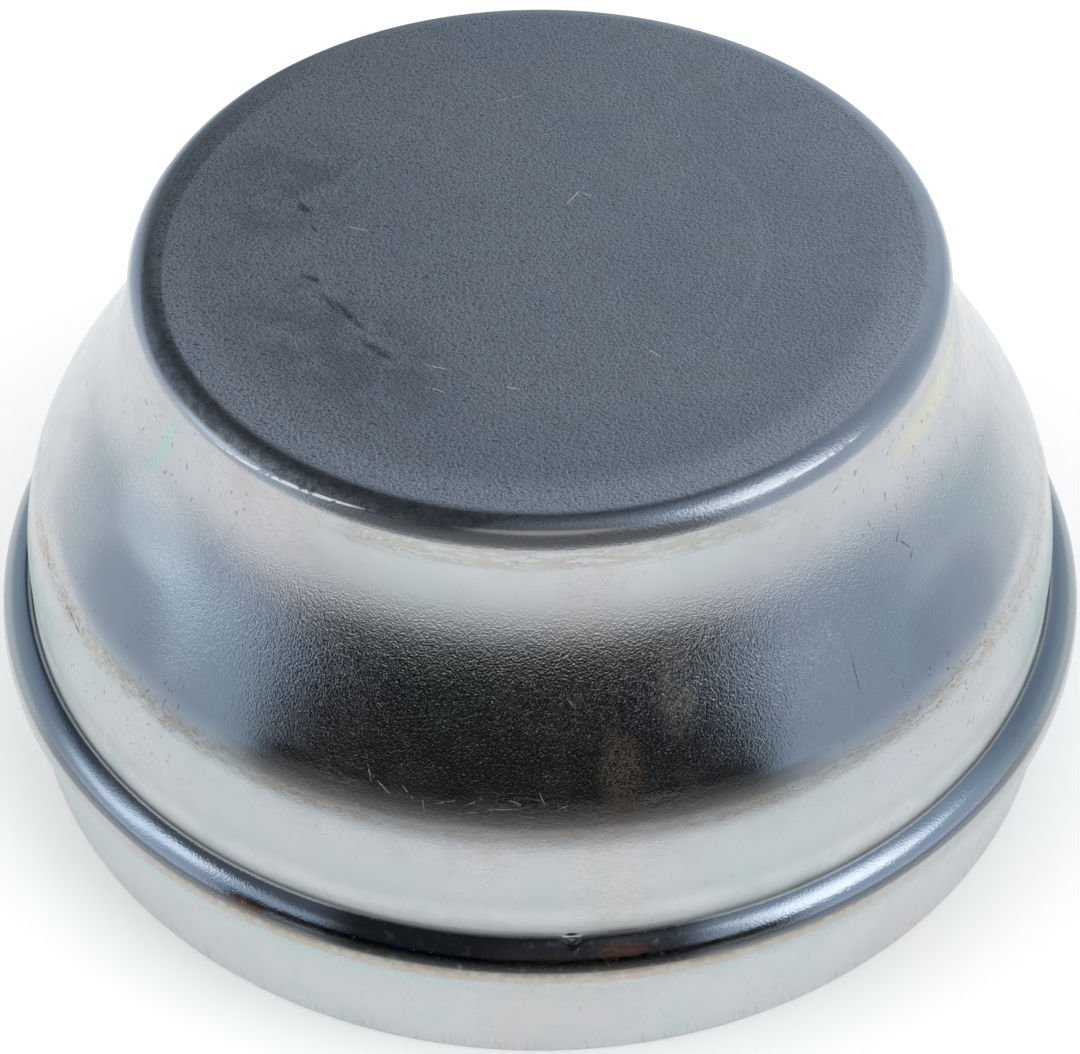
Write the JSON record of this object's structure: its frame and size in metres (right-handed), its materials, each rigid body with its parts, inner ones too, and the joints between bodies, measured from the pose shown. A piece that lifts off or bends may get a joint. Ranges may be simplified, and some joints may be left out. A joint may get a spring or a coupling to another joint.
{
  "type": "hub grease cap",
  "caption": "Round drawn steel cap with a flat crown, a flared neck and a pleated flange above a plain skirt that presses into a wheel hub.",
  "frame": {"origin": "on the cap's axis, in the plane of the skirt's rim", "axes": "+Z along the axis, from the open end towards the crown; the cap is round, so X and Y are free"},
  "size_m": [0.0648, 0.0648, 0.0327],
  "materials": {
    "zinc_plated_steel": "zinc plated drawn sheet steel with a clear blue passivate, semi-bright, with handling marks and traces of grease"
  },
  "bodies": {
    "root": {"grease_cap": "zinc_plated_steel"}
  },
  "joints": []
}
